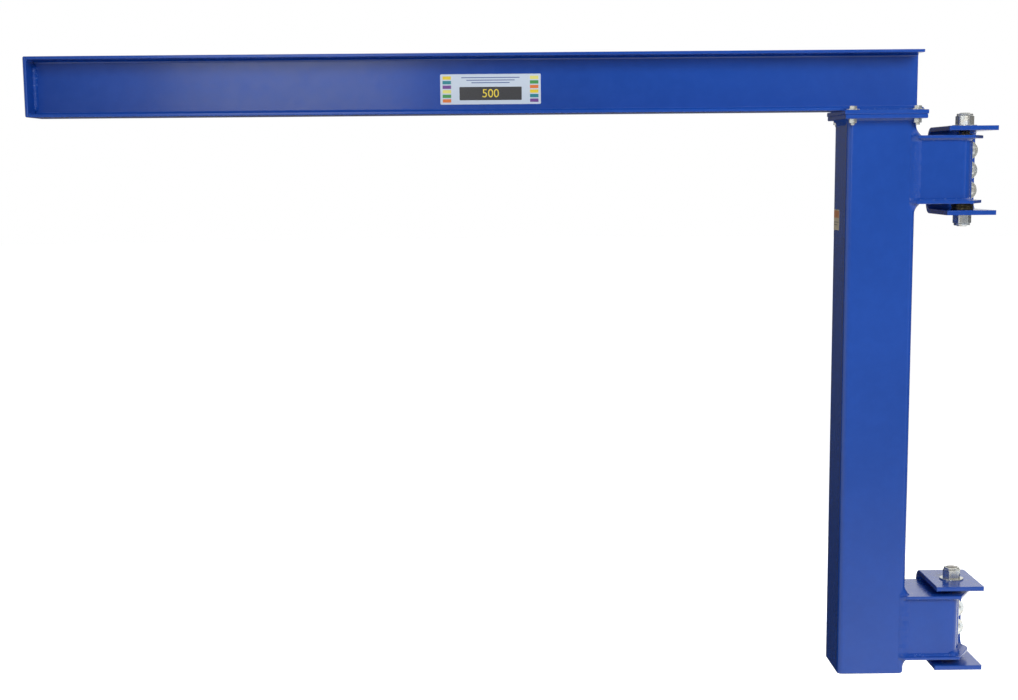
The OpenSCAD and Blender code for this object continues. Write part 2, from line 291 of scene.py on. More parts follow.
def hexagon(bm, width, low, high, place, bore=0, chamfer_low=True, collar=None):
    """A hexagon nut or bolt head, with the round chamfers that a lathe leaves on its corners.
    A bore of 0 leaves it solid. A collar is the (radius, height) of a lock nut's top."""
    crown = HEX_CROWN * width

    def corner(height_at):
        return circle_ring(place, lambda angle: hex_reach(width, angle), height_at)

    rings = [level_ring(place, bore + BORE_EDGE, low)] if bore else []
    rings.append(level_ring(place, crown, low))
    rings.append(corner(lambda r: low + (r - crown) * HEX_SLOPE * chamfer_low))
    rings.append(corner(lambda r: high - (r - crown) * HEX_SLOPE))
    rings.append(level_ring(place, crown, high))
    top = high
    if collar:
        reach, rise = collar
        top = high + rise
        rings += [level_ring(place, r * reach, high + part * rise) for r, part in COLLAR_PROFILE]
    if bore:
        mouth = ((bore + BORE_EDGE, top), (bore, top - BORE_EDGE), (bore, low + BORE_EDGE))
        rings += [level_ring(place, r, z) for r, z in mouth]
    loft(bm, rings, round_trip=bool(bore))


THREAD_DEPTH = 0.54       # depth of a thread, as a share of its pitch
THREAD_RINGS = 6          # rings of points to each pitch of a thread
RING_GAP = 0.02 * MM      # rings closer than this are one


def rod(bm, radius, low, high, place, chamfer, steps, threads=(), pitch=1 * MM):
    """A round rod along the local Z axis. Each thread is a (from, to) length of it, and runs out
    where it ends short of the rod's end."""
    heights = {low, low + chamfer, high - chamfer, high}
    for a, b in threads:
        count = max(2, round((b - a) / (pitch / THREAD_RINGS)))
        heights.update(a + (b - a) * k / count for k in range(count + 1))

    def reach(z, angle):
        cut = 0.0
        for a, b in threads:
            if a <= z <= b:
                phase = (z / pitch - angle / FULL_TURN) % 1
                groove = min(1, max(0, 1.3 * (1 - abs(2 * phase - 1)) - 0.15))
                run_in = (z - a) / pitch if a > low else 1
                run_out = (b - z) / pitch if b < high else 1
                cut = THREAD_DEPTH * pitch * groove * max(0, min(1, run_in, run_out))
        end = max(0, low + chamfer - z, z - high + chamfer)
        return min(radius - cut, radius - end)

    kept = []
    for z in sorted(heights):
        if not kept or z - kept[-1] > RING_GAP:
            kept.append(z)
    rings = [
        circle_ring(place, lambda angle, z=z: reach(z, angle), lambda _, z=z: z, steps) for z in kept
    ]
    loft(bm, rings)


def along(origin, direction, turn=0.0):
    """A placement whose local Z axis points in a direction, turned about it by degrees."""
    spin = Matrix.Rotation(math.radians(turn), 4, "Z")
    tilt = Vector(direction).to_track_quat("Z", "Y").to_matrix().to_4x4()
    return Matrix.Translation(origin) @ tilt @ spin


def rounded_slab(bm, width, height, thick, radius, place, edge):
    """A thin plate with round corners on the local XY plane, its front edge slightly eased."""
    steps = 32

    def outline(shrink, z):
        points = []
        for k in range(steps):
            angle = FULL_TURN * (k + 0.5) / steps
            cx = math.copysign(width / 2 - radius, math.cos(angle))
            cy = math.copysign(height / 2 - radius, math.sin(angle))
            r = radius - shrink
            points.append(place @ Vector((cx + r * math.cos(angle), cy + r * math.sin(angle), z)))
        return points

    loft(bm, [outline(0, 0), outline(0, thick - edge), outline(edge, thick)])


# ---- Shader maths --------------------------------------------------------------------


class Value:
    """A number or colour that varies over a surface. Sums of numbers add the Math nodes they need."""

    def __init__(self, shader, socket):
        self.shader = shader
        self.socket = socket

    def __add__(self, other):
        return self.shader.math("ADD", self, other)

    def __sub__(self, other):
        return self.shader.math("SUBTRACT", self, other)

    def __rsub__(self, other):
        return self.shader.math("SUBTRACT", other, self)

    def __mul__(self, other):
        return self.shader.math("MULTIPLY", self, other)

    def __abs__(self):
        return self.shader.math("ABSOLUTE", self)

    __radd__ = __add__
    __rmul__ = __mul__

    def ramp(self, low, high):
        """0 below low, 1 above high, and an S-shaped rise between."""
        settings = {"interpolation_type": "SMOOTHSTEP", "clamp": True}
        sockets = {"Value": self, "From Min": low, "From Max": high}
        return self.shader.add("ShaderNodeMapRange", settings, sockets)


class Shader:
    """Builds the nodes of a material or a world."""

    def __init__(self, owner):
        owner.use_nodes = True
        self.owner = owner
        self.tree = owner.node_tree
        self.tree.nodes.clear()

    def add(self, kind, settings=None, sockets=None, output=0):
        """Adds a node: its settings first, then the values or links of its sockets."""
        node = self.tree.nodes.new(kind)
        for key, value in (settings or {}).items():
            setattr(node, key, value)
        for key, value in (sockets or {}).items():
            self.feed(node.inputs[key], value)
        return Value(self, node.outputs[output]) if node.outputs else None

    def feed(self, socket, value):
        """Links a value to a socket, or sets the socket to a number or colour."""
        if isinstance(value, Value):
            self.tree.links.new(value.socket, socket)
        elif hasattr(value, "__len__") and socket.type == "RGBA" and len(value) == 3:
            socket.default_value = (*value, 1)
        else:
            socket.default_value = value

    def math(self, operation, *terms):
        """A Math node's result. Its terms are values or numbers."""
        return self.add("ShaderNodeMath", {"operation": operation}, dict(enumerate(terms)))

    def place(self, scale=(1, 1, 1)):
        """Coordinates fixed to the crane, stretched by a scale."""
        where = self.add("ShaderNodeTexCoord", output="Object")
        return self.add("ShaderNodeVectorMath", {"operation": "MULTIPLY"}, {0: where, 1: scale})

    def part(self, vector, axis):
        """A vector's X, Y or Z."""
        return self.add("ShaderNodeSeparateXYZ", sockets={0: vector}, output=axis)

    def noise(self, scale, detail=2.0, rough=0.5, stretch=(1, 1, 1)):
        """Soft blotches, from 0 to 1."""
        sockets = {
            "Vector": self.place(stretch),
            "Scale": scale,
            "Detail": detail,
            "Roughness": rough,
        }
        return self.add("ShaderNodeTexNoise", sockets=sockets)

    def cells(self, scale):
        """Small cells, from 0 at their middles."""
        sockets = {"Vector": self.place(), "Scale": scale}
        return self.add("ShaderNodeTexVoronoi", sockets=sockets, output="Distance")

    def mix(self, factor, a, b):
        """Blends two colours."""
        return self.add("ShaderNodeMix", {"data_type": "RGBA"}, {0: factor, 6: a, 7: b}, output=2)

    def end(self, shader, kind="Material"):
        """Ends the nodes in their output, and gives what they belong to."""
        self.add("ShaderNodeOutput" + kind, sockets={"Surface": shader})
        return self.owner

    def surface(self, base, rough, metallic=0.0, height=None, depth=1 * MM, **fixed):
        """Ends the material in one Principled shader, with a bump if there is a height."""
        sockets = {"Base Color": base, "Roughness": rough, "Metallic": metallic}
        if height is not None:
            bump = {"Height": height, "Distance": depth}
            sockets["Normal"] = self.add("ShaderNodeBump", sockets=bump)
        sockets.update({key.replace("_", " "): value for key, value in fixed.items()})
        return self.end(self.add("ShaderNodeBsdfPrincipled", sockets=sockets))


def new_shader(name):
    """The empty nodes of a new material."""
    return Shader(bpy.data.materials.new(name))


# ---- Finishes ------------------------------------------------------------------------

# The record's slot that each finish belongs to
FINISHES = {}


def finish(kind):
    """A finish that has been mixed already."""
    if kind not in FINISHES:
        raise RuntimeError(f"The {kind} finish isn't mixed yet: run Finishes first")
    return FINISHES[kind]


def rgb(*parts):
    """A colour as Blender keeps it, from 0 to 255 as on a colour card."""
    scaled = [p / 255 for p in parts]
    return tuple(s / 12.92 if s <= 0.04045 else ((s + 0.055) / 1.055) ** 2.4 for s in scaled)


def tinted(colour, *shares):
    """A colour with each part, or all of them, scaled."""
    if len(shares) == 1:
        shares *= 3
    return tuple(c * share for c, share in zip(colour, shares))


class CraneFinish(bpy.types.PropertyGroup):
    enamel: bpy.props.FloatVectorProperty(
        name="Enamel", description="Blue of the paint", subtype="COLOR", size=3, min=0, max=1,
        default=rgb(16, 68, 158),
    )
    dust: bpy.props.FloatProperty(
        name="Dust", description="How much dust lies on level faces", default=0.05, min=0, max=1,
        subtype="FACTOR",
    )
    # Strength of the painted highlights, lighter specks that stand in for light caught on the welds' ripples
    weld_painted_highlights: bpy.props.FloatProperty(
        name="Painted weld highlights", description="How strong the painted highlights are on the welds' high spots",
        default=0.35, min=0, max=1, subtype="FACTOR",
    )
    zinc: bpy.props.FloatVectorProperty(
        name="Zinc", description="Colour of the plated fasteners", subtype="COLOR", size=3,
        min=0, max=1, default=rgb(222, 223, 219),
    )
    bronze: bpy.props.FloatVectorProperty(
        name="Bronze", description="Colour of the bearings and bushings", subtype="COLOR", size=3,
        min=0, max=1, default=rgb(112, 104, 78),
    )


def mix_enamel(name, look, painted_weld_highlight=0.0):
    """Glossy enamel: broad shade changes, orange peel, a little dust on top and light rub marks.
    Over welds it has painted highlights: lighter specks on the high spots."""
    s = new_shader(name)
    deep = tinted(look.enamel, 0.90)
    pale = tuple(min(1, 1.06 * c + 0.002) for c in look.enamel)
    broad = s.noise(2.4, 3).ramp(0.3, 0.7)
    fine = s.noise(38, 4, 0.6).ramp(0.35, 0.7)
    blue = s.mix(broad * 0.7 + fine * 0.3, deep, pale)
    up = s.part(s.add("ShaderNodeTexCoord", output="Normal"), 2).ramp(0.75, 0.98)
    specks = s.noise(520, 2, 0.6).ramp(0.5, 0.72)
    drift = s.noise(14, 5, 0.65).ramp(0.35, 0.75)
    dust = up * (drift * 0.7 + specks * 0.3) * look.dust
    rubbed = s.noise(70, 5, 0.7, (0.25, 1.6, 1.6)).ramp(0.70, 0.80) * 0.10
    blue = s.mix(rubbed, blue, rgb(86, 120, 190))
    # Painted highlights: lighter blue specks on the welds' high spots stand in for light their ripples catch
    if painted_weld_highlight:
        blue = s.mix(s.noise(170, 3, 0.6).ramp(0.58, 0.74) * painted_weld_highlight, blue, rgb(150, 178, 226))
    blue = s.mix(dust, blue, rgb(178, 180, 184))
    peel = s.noise(330, 1.5, 0.45)
    sag = s.noise(24, 2)
    rough = 0.20 + fine * 0.04 + rubbed * 0.9 + dust * 1.2
    return s.surface(
        blue, rough, height=peel * 0.35 + sag * 1.6, depth=0.09 * MM,
        Coat_Weight=0.2, Coat_Roughness=0.1, IOR=1.43,
    )


def mix_zinc(look):
    """Bright zinc plate: fine spangle, faint straw and blue casts, darker where it was handled."""
    s = new_shader("zinc_plate")
    straw = tinted(look.zinc, 1.0, 0.975, 0.91)
    bluish = tinted(look.zinc, 0.91, 0.955, 1.0)
    cast = s.noise(46, 3).ramp(0.38, 0.62)
    tint = s.mix(cast, straw, bluish)
    dull = s.noise(150, 4, 0.65).ramp(0.5, 0.8)
    tint = s.mix(dull * 0.35, tint, tinted(look.zinc, 0.45))
    rough = 0.22 + dull * 0.2 + s.noise(900, 2) * 0.06
    spangle = s.cells(900) + s.noise(260, 3)
    return s.surface(tint, rough, metallic=0.86 - dull * 0.2, height=spangle, depth=0.006 * MM)


def mix_bronze(look):
    """Bearing bronze: turning marks round it and a dull film of oil."""
    s = new_shader("bearing_bronze")
    marks = abs(s.math("FRACT", s.part(s.place(), 2) * 1400) - 0.5)
    film = s.noise(90, 4, 0.6).ramp(0.35, 0.75)
    tint = s.mix(film, look.bronze, tinted(look.bronze, 0.42))
    return s.surface(tint, 0.34 + film * 0.24, metallic=1.0 - film * 0.3, height=marks, depth=0.04 * MM)


def mix_ground_steel():
    """The pins' bare ground shanks, with fine rings and a brown film of grease."""
    s = new_shader("ground_steel")
    grease = s.noise(70, 4, 0.6).ramp(0.4, 0.7)
    tint = s.mix(grease, rgb(170, 166, 158), rgb(96, 84, 66))
    rings = s.noise(40, 2, 0.5, (1, 1, 60))
    return s.surface(tint, 0.22 + grease * 0.25, metallic=1.0 - grease * 0.3, height=rings, depth=0.02 * MM)


def mix_print():
    """Printed vinyl: each patch keeps its ink, under fine print grain and a satin film."""
    s = new_shader("printed_vinyl")
    ink = s.add("ShaderNodeAttribute", {"attribute_name": "ink"}, output="Color")
    grain = s.noise(1500, 2).ramp(0.3, 0.8)
    wear = s.noise(60, 5, 0.7).ramp(0.62, 0.8)
    tint = s.mix(grain * 0.08 + wear * 0.10, ink, rgb(214, 216, 222))
    return s.surface(tint, 0.28 + wear * 0.2, height=s.noise(240, 2), depth=0.02 * MM, Coat_Weight=0.2)


class JIB_OT_finishes(bpy.types.Operator):
    """Mixes the finishes and puts them on the nodes that keep their own mesh"""

    bl_idname = "jib.finishes"
    bl_label = "Finishes"

    def execute(self, context):
        look = context.scene.crane_finish
        FINISHES["enamel"] = mix_enamel("blue_enamel", look)
        # The welds' enamel, with painted highlights in lighter specks on their high spots
        FINISHES["weld"] = mix_enamel("enamel_over_weld_with_painted_highlights", look, look.weld_painted_highlights)
        FINISHES["zinc"] = mix_zinc(look)
        FINISHES["bronze"] = mix_bronze(look)
        FINISHES["steel"] = mix_ground_steel()
        FINISHES["print"] = mix_print()
        kinds = {"paint_blue": "enamel", "zinc": "zinc", "bronze": "bronze"}
        for part in frame["record"]["subparts"]:
            for slot in frame["nodes"][part["node"]].material_slots:
                slot.material = finish(kinds[part["material_slot"]])
        return {"FINISHED"}


# ---- Plates --------------------------------------------------------------------------

PLATES = {
    WALL: ("upper_bracket", "lower_bracket"),
    JIB: (
        "post", "post_cap_plate", "boom_base_plate", "boom", "boom_tip_plate",
        "upper_arm_top_plate", "upper_arm_bottom_plate", "upper_arm_sides",
        "lower_arm_top_plate", "lower_arm_bottom_plate", "lower_arm_sides",
    ),
}
LEFT, RIGHT, FRONT, BACK = (0, 0), (0, 1), (1, 0), (1, 1)       # planes of a node's box


class CraneEdges(bpy.types.PropertyGroup):
    edge_radius: bpy.props.FloatProperty(
        name="Edge radius", description="How far plate edges are rounded", default=0.0012,
        min=0.0002, max=0.003, unit="LENGTH",
    )
    foot_radius: bpy.props.FloatProperty(
        name="Foot radius", description="How far the post's foot is ground round", default=0.005,
        min=0.001, max=0.006, unit="LENGTH",
    )
    tip_radius: bpy.props.FloatProperty(
        name="Tip radius", description="How far the boom's end plate is ground round",
        default=0.0045, min=0.001, max=0.006, unit="LENGTH",
    )
    bracket_radius: bpy.props.FloatProperty(
        name="Bracket radius", description="How far the wall brackets' outlines are rounded",
        default=0.0026, min=0.0005, max=0.004, unit="LENGTH",
    )
    seam_radius: bpy.props.FloatProperty(
        name="Seam radius", description="How far the two bolted plates' edges are rounded",
        default=0.0022, min=0.0002, max=0.003, unit="LENGTH",
    )


class JIB_OT_plates(bpy.types.Operator):
    """Rounds the edges of the painted plates, the post and the boom"""

    bl_idname = "jib.plates"
    bl_label = "Painted plates"

    def execute(self, context):
        sizes = context.scene.crane_edges
        bracket = (edges_on(LEFT, RIGHT, FRONT), sizes.bracket_radius)
        seam = (edges_on(LEFT, RIGHT, FRONT, BACK), sizes.seam_radius)
        rounded_more = {
            "post": (foot_edges, sizes.foot_radius),
            "boom_tip_plate": (edges_on(LEFT), sizes.tip_radius),
            "upper_bracket": bracket,
            "lower_bracket": bracket,
            "post_cap_plate": seam,
            "boom_base_plate": seam,
        }
        for body, nodes in PLATES.items():
            for node in nodes:
                ease_piece(node, body, "enamel", sizes.edge_radius, *rounded_more.get(node, ()))
        return {"FINISHED"}


# ---- Fasteners -----------------------------------------------------------------------

# Each lock nut with the way it faces and the angle it was left at
LOCK_NUTS = (
    ("upper_pin_top_nut", 1, 10),
    ("upper_pin_bottom_nut", -1, -25),
    ("lower_pin_nut", 1, 35),
)
IN_HEAD = 1 * MM                # how far a shank runs into its head
WASHER_EDGE = 0.6 * MM
JOINT_WASHER_EDGE = 0.5 * MM

PIN_RADIUS = 14.3 * MM
PIN_BORE = 14.35 * MM
PIN_THREAD = 44 * MM
PIN_HEAD = 16 * MM
PIN_HEAD_TURN = -20

WALL_BOLT_RADIUS = 9.4 * MM
WALL_BOLT_HEAD = 12 * MM
WALL_BOLT_SHANK = 40 * MM       # length of a wall bolt without a thread, from under its washer

JOINT_BOLT_RADIUS = 6.35 * MM
JOINT_BOLT_BORE = 6.4 * MM
JOINT_BOLT_HEAD = 8 * MM
JOINT_BOLT_THREAD = 26 * MM


class CraneFasteners(bpy.types.PropertyGroup):
    pin_nut_width: bpy.props.FloatProperty(
        name="Pin nut width", description="Across the flats of the pin nuts", default=0.0429,
        min=0.04, max=0.046, unit="LENGTH",
    )
    collar_height: bpy.props.FloatProperty(
        name="Collar height", description="Height of a lock nut's collar", default=0.0055,
        min=0.003, max=0.008, unit="LENGTH",
    )
    collar_width: bpy.props.FloatProperty(
        name="Collar width", description="Diameter of a lock nut's collar", default=0.042,
        min=0.036, max=0.0425, unit="LENGTH",
    )
    pin_pitch: bpy.props.FloatProperty(
        name="Pin pitch", description="Thread pitch of the pins", default=0.0036,
        min=0.001, max=0.005, unit="LENGTH",
    )
    wall_bolt_pitch: bpy.props.FloatProperty(
        name="Wall bolt pitch", description="Thread pitch of the wall bolts", default=0.00254,
        min=0.001, max=0.004, unit="LENGTH",
    )
    joint_bolt_pitch: bpy.props.FloatProperty(
        name="Joint bolt pitch", description="Thread pitch of the joint bolts", default=0.00195,
        min=0.001, max=0.003, unit="LENGTH",
    )


def lock_nut(node, way, turn, sizes):
    """A pin's lock nut, its collar away from the bracket."""
    low, high = corners(node)
    start = low.z if way > 0 else high.z
    hex_height = high.z - low.z - sizes.collar_height
    place = along((PIN.x, PIN.y, start), (0, 0, way), turn)
    collar = (sizes.collar_width / 2, sizes.collar_height)
    bm = bmesh.new()
    hexagon(
        bm, sizes.pin_nut_width, 0, hex_height, place, PIN_BORE, chamfer_low=False, collar=collar
    )
    make_piece(node + "_turned", mesh_of(bm, node + "_turned"), WALL, "zinc", node)


def pin(node, headed, sizes):
    """A pin with a thread at its top, and one at its foot unless it has a head there."""
    low, high = corners(node)
    head_top = low.z + PIN_HEAD
    foot = head_top - IN_HEAD if headed else low.z
    threads = [(high.z - PIN_THREAD, high.z)]
    if not headed:
        threads.append((low.z, low.z + PIN_THREAD))
    bm = bmesh.new()
    upright = Matrix.Translation((PIN.x, PIN.y, 0))
    rod(bm, PIN_RADIUS, foot, high.z, upright, 1.6 * MM, 40, threads, sizes.pin_pitch)
    if headed:
        hung = along((PIN.x, PIN.y, head_top), DOWN, PIN_HEAD_TURN)
        hexagon(bm, sizes.pin_nut_width, 0, PIN_HEAD, hung)
    make_piece(node + "_turned", mesh_of(bm, node + "_turned"), WALL, "steel", node)


class JIB_OT_pins(bpy.types.Operator):
    """Makes the two pins with their threads, nuts and washers"""

    bl_idname = "jib.pins"
    bl_label = "Pins and pin nuts"

    def execute(self, context):
        sizes = context.scene.crane_fasteners
        for node, way, turn in LOCK_NUTS:
            lock_nut(node, way, turn, sizes)
        pin("upper_pin", False, sizes)
        pin("lower_pin", True, sizes)
        for side in SIDES:
            ease_piece(side + "_pin_washer", WALL, "zinc", WASHER_EDGE)
        return {"FINISHED"}


class JIB_OT_wall_bolts(bpy.types.Operator):
    """Makes the wall bolts with threads behind the wall plane, and their washers"""

    bl_idname = "jib.wall_bolts"
    bl_label = "Wall bolts"

    def execute(self, context):
        pitch = context.scene.crane_fasteners.wall_bolt_pitch
        for side in SIDES:
            node = side + "_wall_bolts"
            bm = bmesh.new()
            for low, high in solids_of(node):
                length = high.y - low.y
                centre = Vector(((low.x + high.x) / 2, low.y, (low.z + high.z) / 2))
                head = along(centre + Vector((0, WALL_BOLT_HEAD, 0)), (0, -1, 0))
                hexagon(bm, high.z - low.z, 0, WALL_BOLT_HEAD, head, chamfer_low=False)
                rod(
                    bm, WALL_BOLT_RADIUS, WALL_BOLT_HEAD - IN_HEAD, length, along(centre, (0, 1, 0)),
                    1.2 * MM, 24, [(WALL_BOLT_SHANK, length)], pitch,
                )
            make_piece(node + "_turned", mesh_of(bm, node + "_turned"), WALL, "zinc", node)
            ease_piece(side + "_wall_washers", WALL, "zinc", WASHER_EDGE)
        return {"FINISHED"}


class JIB_OT_joint_bolts(bpy.types.Operator):
    """Makes the four bolts that hold the boom on the post, with nuts and washers"""

    bl_idname = "jib.joint_bolts"
    bl_label = "Joint bolts"

    def execute(self, context):
        pitch = context.scene.crane_fasteners.joint_bolt_pitch
        bolts, nuts = bmesh.new(), bmesh.new()
        boxes = zip(solids_of("joint_bolts"), solids_of("joint_nuts"), strict=True)
        for (low, high), (nut_low, nut_high) in boxes:
            width = high.y - low.y
            head_low = high.z - JOINT_BOLT_HEAD
            base = Matrix.Translation(((low.x + high.x) / 2, (low.y + high.y) / 2, 0))
            head = base @ Matrix.Translation((0, 0, head_low))
            hexagon(bolts, width, 0, JOINT_BOLT_HEAD, head, chamfer_low=False)
            rod(
                bolts, JOINT_BOLT_RADIUS, low.z, head_low + IN_HEAD, base,
                0.8 * MM, 24, [(low.z, low.z + JOINT_BOLT_THREAD)], pitch,
            )
            hexagon(nuts, width, nut_low.z, nut_high.z, base, JOINT_BOLT_BORE)
        for node, bm in (("joint_bolts", bolts), ("joint_nuts", nuts)):
            make_piece(node + "_turned", mesh_of(bm, node + "_turned"), JIB, "zinc", node)
        ease_piece("joint_washers", JIB, "zinc", JOINT_WASHER_EDGE)
        return {"FINISHED"}


# ---- Bearings ------------------------------------------------------------------------

RACE_BORE = 14.75 * MM          # inside radius of the races
RACE_HEIGHT = 5.2 * MM
RACE_EDGE = 0.6 * MM            # chamfer of the races
CAGE_IN = 1 * MM                # how far the roller cage stays inside the races' bore
CAGE_OUT = 1.6 * MM             # and inside their rim
CAGE_LAP = 0.2 * MM             # how far the cage sits in the races
ROLLERS = 22
ROLLER_RADIUS = 2.4 * MM
ROLLER_IN = 2 * MM
ROLLER_OUT = 0.8 * MM


def race(bm, outer, foot, place):
    """A bearing race: a square ring with chamfered edges."""
    top = foot + RACE_HEIGHT
    turned(bm, [
        (RACE_BORE, foot + RACE_EDGE), (RACE_BORE + RACE_EDGE, foot),
        (outer - RACE_EDGE, foot), (outer, foot + RACE_EDGE),
        (outer, top - RACE_EDGE), (outer - RACE_EDGE, top),
        (RACE_BORE + RACE_EDGE, top), (RACE_BORE, top - RACE_EDGE),
    ], place)


def rollers(bm, outer, place):
    """The rollers that lie like spokes round a placement."""
    length = outer - RACE_BORE - ROLLER_IN - ROLLER_OUT
    for k in range(ROLLERS):
        angle = FULL_TURN * k / ROLLERS
        radial = Vector((math.cos(angle), math.sin(angle), 0))
        spot = place + radial * (RACE_BORE + ROLLER_IN)
        rod(bm, ROLLER_RADIUS, 0, length, along(spot, radial), 0.4 * MM, 12)


class JIB_OT_bearings(bpy.types.Operator):
    """Makes the thrust bearings with their two races and roller cage"""

    bl_idname = "jib.bearings"
    bl_label = "Thrust bearings"

    def execute(self, context):
        for side in SIDES:
            node = side + "_thrust_bearing"
            low, high = corners(node)
            outer = (high.x - low.x) / 2
            tall = high.z - low.z
            place = Matrix.Translation((PIN.x, PIN.y, low.z))
            bm = bmesh.new()
            race(bm, outer, 0, place)
            race(bm, outer, tall - RACE_HEIGHT, place)
            cage_low, cage_high = RACE_HEIGHT - CAGE_LAP, tall - RACE_HEIGHT + CAGE_LAP
            turned(bm, [
                (RACE_BORE + CAGE_IN, cage_low), (outer - CAGE_OUT, cage_low),
                (outer - CAGE_OUT, cage_high), (RACE_BORE + CAGE_IN, cage_high),
            ], place)
            rollers(bm, outer, Vector((PIN.x, PIN.y, low.z + tall / 2)))
            make_piece(node + "_turned", mesh_of(bm, node), WALL, "bronze", node)
        return {"FINISHED"}


# ---- Welds ---------------------------------------------------------------------------

WELD_DEGREES = 50               # an edge of a weld that turns less than this is shaded smooth


class CraneWelds(bpy.types.PropertyGroup):
    leg: bpy.props.FloatProperty(
        name="Leg", description="Size of the fillet welds", default=0.0065, min=0.003, max=0.012,
        unit="LENGTH",
    )
    root_rise: bpy.props.FloatProperty(
        name="Root rise", description="How far the arms' root welds run out on the post",
        default=0.028, min=0.01, max=0.035, unit="LENGTH",
    )
    arm_bend: bpy.props.FloatProperty(
        name="Arm bend", description="Outside radius of the bends in the arms' sides",
        default=0.028, min=0.02, max=0.035, unit="LENGTH",
    )
    ripple: bpy.props.FloatProperty(
        name="Ripple", description="Distance between ripples in a weld", default=0.0042,
        min=0.002, max=0.01, unit="LENGTH",
    )


# The weld finish carries painted highlights, lighter specks on the beads' high spots
def weld_piece(bm, name, kind="weld"):
    """Makes a weld a piece of the jib."""
    make_piece(name, mesh_of(bm, name, WELD_DEGREES), JIB, kind)


def even_path(stations, step):
    """Points a step apart on a path of (point, way a, way b) stations, the ways turning between them."""
    out = []
    for (p, a, b), (q, c, d) in zip(stations, stations[1:]):
        count = max(1, math.ceil((q - p).length / step))
        for k in range(count):
            t = k / count
            out.append((p.lerp(q, t), a.lerp(c, t), b.lerp(d, t)))
    out.append(stations[-1])
    return out


STEPS_A_RIPPLE = 4
BEAD_ROOT = 0.4 * MM            # how far a bead's root sits in the corner
ACROSS_BEAD = (0, 0.2, 0.4, 0.6, 0.8, 1)
TAPER = 1.2                     # length of a bead's tapered end, as a share of its leg


def bead(bm, stations, leg, ripple, loop=False, crown=0.10, rough=0.07):
    """A fillet weld along a path. At each station, ways a and b lie on the two plates it joins.
    The crown is how far it bulges and rough is how much it wanders, as shares of its leg."""
    path = even_path(stations, ripple / STEPS_A_RIPPLE)
    length = sum((p[0] - q[0]).length for p, q in zip(path, path[1:]))
    rings = []
    run = 0.0
    for index, (point, a, b) in enumerate(path):
        if index:
            run += (point - path[index - 1][0]).length
        ring = [point - (a + b) * BEAD_ROOT]
        wander = 1 + rough * noise.noise(point * 60)
        if not loop:
            from_end = max(0, min(run, length - run))
            wander *= min(1, 0.3 + 0.7 * math.sqrt(from_end / (TAPER * leg)))
        for t in ACROSS_BEAD:
            bow = math.sin(math.pi * t)
            wave = abs(math.sin(math.pi * (run / ripple - 0.35 * bow)))
            reach = leg * wander * (1 + (0.13 * wave - 0.07) * bow)
            ring.append(point + reach * ((1 - t) * a + t * b + crown * bow * (a + b)))
        rings.append(ring)
    if loop:
        rings.pop()
    loft(bm, rings, round_trip=loop)


def quarter_turn(steps):
    """Ways round a quarter circle, from +Y to +X."""
    angles = [math.radians(90 * k / steps) for k in range(steps + 1)]
    return [Vector((math.sin(angle), math.cos(angle), 0)) for angle in angles]


def arm_side_path(side, sign, bend):
    """The foot of an arm's side plate as (point, way out) pairs, from the post round to the nose."""
    low, high = corners(side + "_arm_sides")
    half = (high.y - low.y) / 2
    corner = Vector((high.x - bend, PIN.y + sign * (half - bend), 0))
    outs = [Vector((way.x, sign * way.y, 0)) for way in quarter_turn(8)]
    start = Vector((low.x + 2 * MM, PIN.y + sign * half, 0))
    end = Vector((high.x, PIN.y + sign * 28 * MM, 0))
    return [(start, outs[0]), *((corner + bend * out, out) for out in outs), (end, X_AXIS)]


# Cross sections of the weld that closes an arm's root against the post's round corner, as (out from
# the post's end, out from its face) in mm: bare tube, over a plate, at a plate's edge, along the side
ROOT_TIP = (
    (-16, -0.4), (-9.3, -1.5), (-4.7, -4.7), (-1.5, -9.3), (-0.4, -16), (-3, -16), (-4, -14), (-16, -3),
)
ROOT_OVER = ((-16, 0.2), (-8, 1.0), (0, 0.2), (8, -2.6), (13, -9), (13, -16), (-4, -14), (-16, -3))
ROOT_EDGE = ((-16, 0.2), (-10, 3.2), (-4, 8.6), (0.6, 12), (4, 12.4), (4, 2), (-4, -14), (-16, -3))
ROOT_SIDE = ((-16, 0.2), (-8, 1.4), (0, 1.0), (7, -0.6), (13, -2.7), (13, -8), (-4, -14), (-16, -3))
ROOT_STEPS = 6                  # sections between a root weld's tip and the plate
ROOT_SKIN = 1.2 * MM            # how far inside a plate's faces its edge is covered
ROOT_CLEAR = 7 * MM             # how far off the plates the plain side begins


def blended(section, other, part):
    """A cross section part of the way from one to another."""
    return [(a + (c - a) * part, b + (d - b) * part) for (a, b), (c, d) in zip(section, other)]


def root_stations(foot, top, rise, ripple):
    """The heights and cross sections of a root weld, from the plates' (low, high) heights."""
    shares = [step / ROOT_STEPS for step in range(ROOT_STEPS + 1)]
    start, end = foot[1] + ROOT_CLEAR, top[0] - ROOT_CLEAR
    count = round((end - start) / (ripple / STEPS_A_RIPPLE))
    return [
        *((foot[0] - rise * (1 - t), blended(ROOT_TIP, ROOT_OVER, t ** 2)) for t in shares),
        (foot[0] + ROOT_SKIN, ROOT_EDGE),
        (foot[1] - ROOT_SKIN, ROOT_EDGE),
        *((start + (end - start) * k / count, ROOT_SIDE) for k in range(count + 1)),
        (top[0] + ROOT_SKIN, ROOT_EDGE),
        (top[1] - ROOT_SKIN, ROOT_EDGE),
        *((top[1] + rise * t, blended(ROOT_TIP, ROOT_OVER, (1 - t) ** 2)) for t in shares),
    ]


